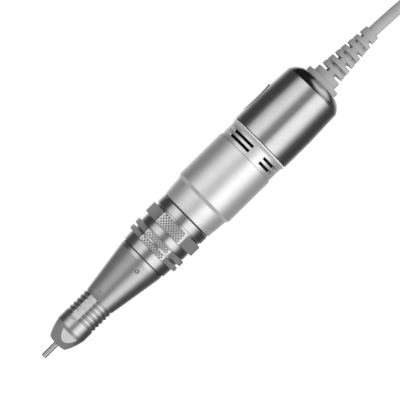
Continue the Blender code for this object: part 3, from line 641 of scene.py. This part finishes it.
def chuck_collar():
    """The turning collar: polished bands, and three six-sided rings, each face pitted by a diamond knurl."""
    knurl = []

    def shift(station, radius, angle):
        for ring in KNURLED_RINGS:
            if ring[0] <= station <= ring[1] and radius == ring[2]:
                radius, value = knurl_at(ring, station, angle)
                knurl.append(value)
                return radius
        knurl.append(0)
        return radius

    front, rear = COLLAR_START + 0.06, COLLAR_END - 0.06
    bore_r, rear_band_r, chamfer = 9.9, 12.25, 0.12
    profile = [(front, bore_r), (front, 11.05), (53.2, 11.3), (53.3, 11.15), (53.4, 11.15)]
    profile = finer(profile + [(53.5, 11.3)], 0.06)[:-2]
    between = [
        [(55.9, 11.2), (56.5, 11.2)],
        [(59.3, 11.4), (59.45, 11.4), (59.6, 11.75), (59.7, 11.75)]
        + [(62.3, 11.75), (62.4, 11.75), (62.55, 11.5), (62.7, 11.5)],
        [(68.1, 11.7), (68.2, 11.7), (68.7, 11.7), (68.8, 11.7)]
        + [(68.95, 12.15), (69.05, rear_band_r), (69.1, rear_band_r), (72.5, rear_band_r)],
    ]
    for (start, end, corner), gap in zip(KNURLED_RINGS, between):
        rows = round((end - start) / KNURL_ROW)
        profile += [(start + (end - start) * k / rows, corner) for k in range(rows)] + [(end, corner)]
        profile += gap
    profile += [(rear - chamfer, rear_band_r), (rear, rear_band_r - chamfer), (rear, bore_r)]
    collar = lathe("knurled_collar", profile, 4 * KNURL_TEETH, shift, start=HEX_CORNER_ANGLE)
    collar.data.attributes.new("knurl", "FLOAT", "POINT").data.foreach_set("value", knurl)
    for angle in (pi / 2, 3 * pi / 2):
        cut(collar, cam_groove(angle))
    return settle(collar, "collar_metal", "collar", ["chuck_collar"])


def cam_groove(angle):
    """A round-bottomed helical groove in the collar's bore, for a cam pin."""
    station, travel, overrun, steps = 65.4, 1.2, radians(8), 16
    middle_r, groove_r = 10.1, 1.3
    line = []
    for k in range(steps + 1):
        a = -overrun + (CAM_TURN + 2 * overrun) * k / steps
        line.append((middle_r * cos(angle - a), middle_r * sin(angle - a), station - travel * a / CAM_TURN))
    groove = tube("cam_groove", line, groove_r, 4)
    groove.matrix_world = TO_AXIS
    shape = groove.evaluated_get(bpy.context.evaluated_depsgraph_get())
    solid = add("cam_groove_solid", bpy.data.meshes.new_from_object(shape))
    solid.matrix_world = TO_AXIS
    bpy.data.objects.remove(groove)
    return solid


def seam_shade_rings():
    """Black rings at the bottom of the collar's two seams and of the seam in front of the cap: painted shade,
    so that each gap reads black.
    """
    clear = 0.04
    for seam, (start, end, inner, outer) in {
        "front": (SLEEVE_END + clear, COLLAR_START - clear, 8.9, 10.2),
        "rear": (COLLAR_END + clear, BARREL_START - clear, 10.0, 11.8),
        "cap": (VENT_END + clear, CAP_START - clear, 12.5, 13.5),
    }.items():
        ring = [(start, inner), (start, outer), (end, outer), (end, inner)]
        # Painted shade: a black ring at the bottom of each gap.
        settle(lathe(f"{seam}_seam_shade_ring", finer(ring, 0.05)), "black_plastic")


# ---------------------------------------------------------------- barrel, vents and cap


def motor_barrel():
    """The barrel round the motor, with a chamfered shoulder in front of its widest part."""
    end, bore_r, mouth_r = BARREL_END + 0.1, 12.55, 9.9
    front = [(BARREL_START, mouth_r), (BARREL_START, 12.2), (77.5, 12.62), (81.9, 12.95)]
    widest = [(83.3, BARREL_R), (end, BARREL_R)]
    inside = [(end, bore_r), (83.0, bore_r), (83.0, 11.7), (77.0, 11.4), (77.0, mouth_r)]
    barrel = lathe("barrel_shell", finer(front + widest + inside, 0.15))
    return settle(barrel, "barrel_aluminium", replaced=["motor_barrel"])


def vent_ring():
    """The ring with two rows of milled cooling slots, flared towards the cap."""
    start, end, bore_r, edge_r = VENT_START - 0.1, VENT_END - 0.1, 11.6, 13.98
    front_spigot_r, rear_spigot_r = 12.25, 12.45
    slot_rows, slot_half_width, slot_sweep, cutter_r = (108.5, 110.9), 0.62, radians(64), (10.5, 15)
    spigot = [(104.3, bore_r), (104.3, front_spigot_r), (start, front_spigot_r)]
    flare = curve_through([(111.6, 13.35), (112.6, 13.45), (113.4, 13.75), (113.9, edge_r)], 3)
    outside = [(start, 13.35), *flare, (end, edge_r)]
    rear = [(end, rear_spigot_r), (117.0, rear_spigot_r), (117.0, bore_r)]
    ring = lathe("slotted_ring", finer(spigot + outside + rear, 0.08))
    for station in slot_rows:
        loops = [sector(*cutter_r, VENT_ANGLE + k * pi / 2, slot_sweep, 16) for k in range(4)]
        cut(ring, prism("slots", loops, station - slot_half_width, station + slot_half_width))
    return settle(ring, "barrel_aluminium", replaced=["vent_ring"])


def vent_highlight_rim():
    """The thin edge at the rear of the vent ring, painted near white and nearly matt: a painted highlight
    line.
    """
    start, end, inner, outer = VENT_END - 0.4, VENT_END - 0.06, 13.7, 14.12
    profile = [(start, inner), (start, outer), (end, outer), (end, inner)]
    rim = settle(lathe("highlight_rim", finer(profile, 0.06)), "barrel_aluminium")
    # Painted highlight: a pale, mostly matt metal on the edge.
    rim.data.materials[0] = metal("painted_highlight_edge", 0.96, 0.5, metallic=0.15)


def badge_oval(name, inset, inner, outer):
    """A curved oval plate on the +Y side, between two radii; the inset makes it smaller all round."""
    half_length, half_width, station = 7.4 - inset, 4.2 - inset, 126.4
    loop = [(x * half_length, y * half_width) for x, y in arc(1, 0, 1.98 * pi, 99)]
    shell = lathe(name, [(114, inner), (114, outer), (138, outer), (138, inner)])
    sideways = Matrix.Translation((NOSE_X + station * MM, 0, AXIS_Z)) @ Matrix.Rotation(-pi / 2, 4, "X")
    return cut(shell, prism("oval", [loop], 10, 18, sideways), "INTERSECT")


def rear_cap():
    """The polished cap: a straight side, a slight taper with a crisp end, a round rear and a badge seat."""
    taper_start, bore_r, hole_r = 128.6, 12.75, 5.3
    side = [(CAP_START, bore_r), (CAP_START, CAP_R), (taper_start, CAP_R), (143.8, 13.5)]
    rounding = [(143.85, 13.46), (144.6, 13.12), (146.0, 12.15), (147.4, 10.6), (CAP_END, 9.5)]
    rounding = curve_through(rounding, 5)
    inside = [(CAP_END, hole_r), (145.8, hole_r), (145.8, 9.0), (143.6, 11.7), (140.0, 12.3)]
    inside += [(taper_start, bore_r)]
    cap = lathe("cap_shell", finer(side + rounding + inside, 0.07))
    cut(cap, badge_oval("seat", 0, 13.4, 16))
    cut(cap, badge_oval("seat_lip", -0.3, 13.85, 16))
    return settle(cap, "cap_metal", replaced=["rear_cap"])


def name_plate():
    """A blank badge, and a thin black ring round it, a little proud of the cap: painted shade for the dark
    edge of the badge's seat.
    """
    shade_outline = badge_oval("badge_shade_outline", 0.05, 13.6, 14.27)
    cut(shade_outline, badge_oval("shade_outline_hole", 0.35, 13.5, 16))
    # Painted shade: a black ring draws the dark outline of the badge.
    settle(shade_outline, "black_plastic")
    return settle(badge_oval("badge", 0.38, 13.68, 14.22), "badge_metal", replaced=["name_plate"])


# ---------------------------------------------------------------- strain relief


def relief_radius(station):
    """The outside of the relief's taper, from 5.5 mm behind its flange to 3.4 mm at its end."""
    widest, narrowing = 5.5, 2.1
    return widest - narrowing * (station - RELIEF_TAPER_START) / (RELIEF_END - RELIEF_TAPER_START)


def relief_flange(bore_r):
    """The relief's front: a foot inside the cap, a neck in its hole, and a flange behind it."""
    foot_end, foot_r, neck_r = 145.5, 7.0, 5.0
    flange_start, flange_end, flange_r, shoulder_r = CAP_END + 0.05, 150.4, 8.0, 5.7
    profile = [(RELIEF_START, bore_r), (RELIEF_START, foot_r), (foot_end, foot_r), (foot_end, neck_r)]
    profile += [(flange_start, neck_r), (flange_start, flange_r), (flange_end, flange_r)]
    profile += [(flange_end, shoulder_r), (RELIEF_TAPER_START, shoulder_r), (RELIEF_TAPER_START, bore_r)]
    return lathe("relief_rings", finer(profile, 0.2), 96)


def relief_webs(start, end, bore_r, angle):
    """Two webs on opposite sides that join the rings across a slot, and reach a little into each."""
    half_width, overlap, inset = 1.3, 0.6, 0.12
    front, rear, outer = start - overlap, end + overlap, relief_radius(end) - inset
    profile = [(front, bore_r), (front, outer), (rear, outer), (rear, bore_r)]
    slab = [(-9, -half_width), (9, -half_width), (9, half_width), (-9, half_width)]
    turn = TO_AXIS @ Matrix.Rotation(angle, 4, "Z")
    return cut(lathe("web", profile, 96), prism("slab", [slab], 150, 180, turn), "INTERSECT")


def strain_relief():
    """The rubber relief: a flange on the cap, then rounded rings joined by webs, at right angles by turns."""
    bore_r = 2.55
    relief = relief_flange(bore_r)
    slots = [(RELIEF_TAPER_START, 155.0), (156.9, 158.1), (160.2, 161.4), (163.4, 164.6)]
    slots += [(166.7, 167.7), (169.8, 171.0), (173.0, 174.2)]
    ring_ends = [start for start, _ in slots[1:]] + [RELIEF_END]
    for k, ((start, end), ring_end) in enumerate(zip(slots, ring_ends)):
        ring = [(end, bore_r), (end, relief_radius(end))]
        ring += [(ring_end, relief_radius(ring_end)), (ring_end, bore_r)]
        cut(relief, lathe("ring", finer(ring, 0.2), 96), "UNION")
        cut(relief, relief_webs(start, end, bore_r, pi / 2 * (k % 2)), "UNION")
    return settle(relief, "grey_rubber", replaced=["strain_relief"])


# ---------------------------------------------------------------- the lead, its tie and its plug


def pulled_in(x):
    """How far the tie has pulled the folded lead together at x from the front fold, from 0 to 1."""
    slope = (HANK_RUN - TIE_WIDTH) / 2 - HANK_END_STRAIGHT
    inside = min(x, HANK_RUN - x) - HANK_END_STRAIGHT
    return (1 - cos(pi * min(max(inside / slope, 0), 1))) / 2


def run(y, z, start, end, z_end=None):
    """A length between folds at y, pulled towards the middle by the tie, that may rise near its end."""
    lift, rise_from, steps = 1.0, 25.0, 44
    points = []
    for k in range(1, steps):
        x = start + (end - start) * k / steps
        pull = pulled_in(x)
        up = 0 if z_end is None else (z_end - z) * max(0, 1 - abs(x - end) / rise_from) ** 2
        points.append((HANK_FRONT + x, y - TIE_PULL * pull * (1 if y > 0 else -1), z + lift * pull + up))
    return points


def fold(x, first, last, way, z, z_end):
    """A half turn about x from y = first to y = last, and z to z_end; way is 1 at the rear, -1 in front."""
    steps = 22
    middle, radius = (first + last) / 2, (first - last) / 2
    points = []
    for k in range(steps + 1):
        t = k / steps
        ease = t * t * (3 - 2 * t)
        height = z + (z_end - z) * ease
        station = HANK_FRONT + x + way * abs(radius) * sin(pi * t)
        points.append((station, middle + radius * cos(pi * t), height))
    return points


def lead_route():
    """The lead's centreline: from the relief to the floor, four turns of the hank, and up to the plug."""
    low, high, top, plug_rise, short = CORD_R, 3 * CORD_R, 9.4, 14.2, 3.0
    route = [(149.0, 0, CAP_R), (160.0, 0, CAP_R), (172.0, 0, CAP_R), (RELIEF_END, 0, 14.1)]
    route += [(186.0, -0.3, 13.2), (193.0, -0.7, 10.9), (200.0, -1.6, 8.0), (206.0, -3.9, 5.3)]
    route += [(212.5, -9.4, 3.3), (219.0, -15.4, 2.6), (225.0, -18.2, low), (HANK_FRONT, -OUTER_FOLD, low)]
    line = [tuple(p) for p in curve_through(route, 5)]
    # Each run is (y, z, where its front end is), and they run rearward and forward by turns
    runs = [(-OUTER_FOLD, low, 0), (OUTER_FOLD, low, 0), (-INNER_FOLD, low, 0), (INNER_FOLD, low, short)]
    runs += [(-INNER_FOLD, high, short), (INNER_FOLD, high, 0), (-OUTER_FOLD, high, 0)]
    runs += [(OUTER_FOLD, high, 0)]
    for k, ((y, z, front), (next_y, next_z, _)) in enumerate(zip(runs, runs[1:])):
        start, end, way = (HANK_RUN, front, -1) if k % 2 else (front, HANK_RUN, 1)
        line += run(y, z, start, end) + fold(end, y, next_y, way, z, next_z)
    line += run(OUTER_FOLD, high, HANK_RUN, 0, top)
    line += fold(0, OUTER_FOLD, PLUG_Y, -1, top, plug_rise)
    into_plug = [(1.5, 14.8), (4.5, PLUG_Z), (9.5, PLUG_Z)]
    return line + [(HANK_FRONT + x, PLUG_Y, z) for x, z in into_plug]


def tube(name, line, radius, resolution=6):
    """A round tube along a line of points in millimetres."""
    curve = bpy.data.curves.new(name, "CURVE")
    curve.dimensions = "3D"
    curve.bevel_depth = radius * MM
    curve.bevel_resolution = resolution
    curve.use_fill_caps = True
    spline = curve.splines.new("POLY")
    spline.points.add(len(line) - 1)
    spline.use_smooth = True
    for point, where in zip(spline.points, line):
        point.co = (*[c * MM for c in where], 1)
    return add(name, curve)


def lead():
    """The lead itself, whose line is in world millimetres."""
    line = [(NOSE_X / MM + station, y, z) for station, y, z in lead_route()]
    replaced = ["cord_lead", "cord_hank", "cord_tail"]
    return settle(tube("lead", line, CORD_R), "grey_cord", replaced=replaced)


def hank_tie():
    """A flat strap round the middle of the folded lead, with rounded corners and soft edges."""
    half_y, low, high, corner, corner_steps = 9.9, TIE_THICK, 10.9, 1.6, 8
    half_width, edge, edge_thick, bevel = TIE_WIDTH / 2, 0.1, 0.7, 0.4
    line = []
    for k, (y, z) in enumerate([(half_y, high), (-half_y, high), (-half_y, low), (half_y, low)]):
        centre = (y - corner * (1 if y > 0 else -1), z - corner * (1 if z > low else -1))
        line += [(centre, (k + j / corner_steps) * pi / 2) for j in range(corner_steps + 1)]
    half_section = [(half_width, 0), (half_width - edge, edge_thick), (half_width - bevel, TIE_THICK)]
    section = [(-x, out) for x, out in half_section] + half_section[::-1]
    bm = bmesh.new()
    rings = []
    for (y, z), a in line:
        ring = []
        for x, out in section:
            reach = corner + out
            station = HANK_FRONT + HANK_RUN / 2 + x
            ring.append(bm.verts.new(place(station, y + reach * cos(a), z + reach * sin(a))))
        rings.append(ring)
    for one, two in zip(rings, rings[1:] + rings[:1]):
        for k in range(len(section)):
            bm.faces.new((one[k - 1], one[k], two[k], two[k - 1]))
    return settle(from_bmesh("strap", bm), "black_plastic", replaced=["hank_tie"])


def plug_axis():
    """The plug's frame: its Z runs from the lead towards the contact."""
    return Matrix.Translation(place(PLUG_START, PLUG_Y, PLUG_Z)) @ Matrix.Rotation(pi / 2, 4, "Y")


def plug_body():
    """The moulded plug: a ringed relief at the lead, then a grip with shallow finger flutes."""
    flutes, flute_depth, flutes_start, flutes_end = 14, 0.22, 13, 24.5
    cord_hole_r, front_r, grip_r, contact_hole_r, core_r = 2.55, 3.3, 4.75, 3.05, 1.0

    def shift(station, radius, angle):
        fluted = flutes_start <= station <= flutes_end and radius > 4.7
        return radius - flute_depth * (0.5 + 0.5 * cos(flutes * angle)) if fluted else radius

    outside = [(0, cord_hole_r), (0, front_r)]
    for station in (1.6, 3.4, 5.2, 7.0):
        radius, end = front_r + 0.5 * station / 9.5, station + 0.9
        outside += [(station, radius), (station, radius - 0.5), (end, radius - 0.45), (end, radius + 0.05)]
    outside += [(9.5, 3.8), (10.5, 4.6), (11.5, grip_r), (flutes_start, grip_r), (13.5, grip_r)]
    outside += [(24, grip_r), (flutes_end, grip_r), (25.8, grip_r), (26.8, 4.2)]
    inside = [(26.8, contact_hole_r), (20.8, contact_hole_r), (20.8, core_r), (8.0, core_r)]
    inside += [(8.0, cord_hole_r)]
    body = lathe("plug_grip", finer(outside + inside, 0.2), 112, shift, plug_axis())
    return settle(body, "grey_rubber", replaced=["plug_body"])


def plug_barrel():
    """The plug's metal barrel, with a rounded tip and a retaining groove."""
    start, end, bore_r, outer_r, groove_r = 21.1, 36.5, 1.25, 2.75, 2.55
    outside = [(start, bore_r), (start, outer_r), (33.2, outer_r), (33.5, groove_r), (34.1, groove_r)]
    outside += [(34.4, outer_r), (end, outer_r), (end, bore_r)]
    barrel = lathe("plug_contact", finer(outside, 0.25), 96, matrix=plug_axis())
    return settle(barrel, "bright_steel", replaced=["plug_barrel"])


# ---------------------------------------------------------------- the whole object


def dress_frame():
    """Gives each CAD node its slot's material; the ones with a detailed piece are hidden anyway."""
    for part in frame["record"]["subparts"]:
        node = frame["nodes"][part["node"]]
        node.data.materials.clear()
        node.data.materials.append(MATERIALS[part["material_slot"]])


camera()
studio_world()
floor()
key_light()
dress_frame()
cord = lead()
tie = hank_tie()
plug = [plug_body(), plug_barrel()]
nose_cap()
nose_sleeve()
nose_set_screw()
bit_shank()
chuck_collar()
seam_shade_rings()
motor_barrel()
vent_ring()
vent_highlight_rim()
rear_cap()
name_plate()
strain_relief()
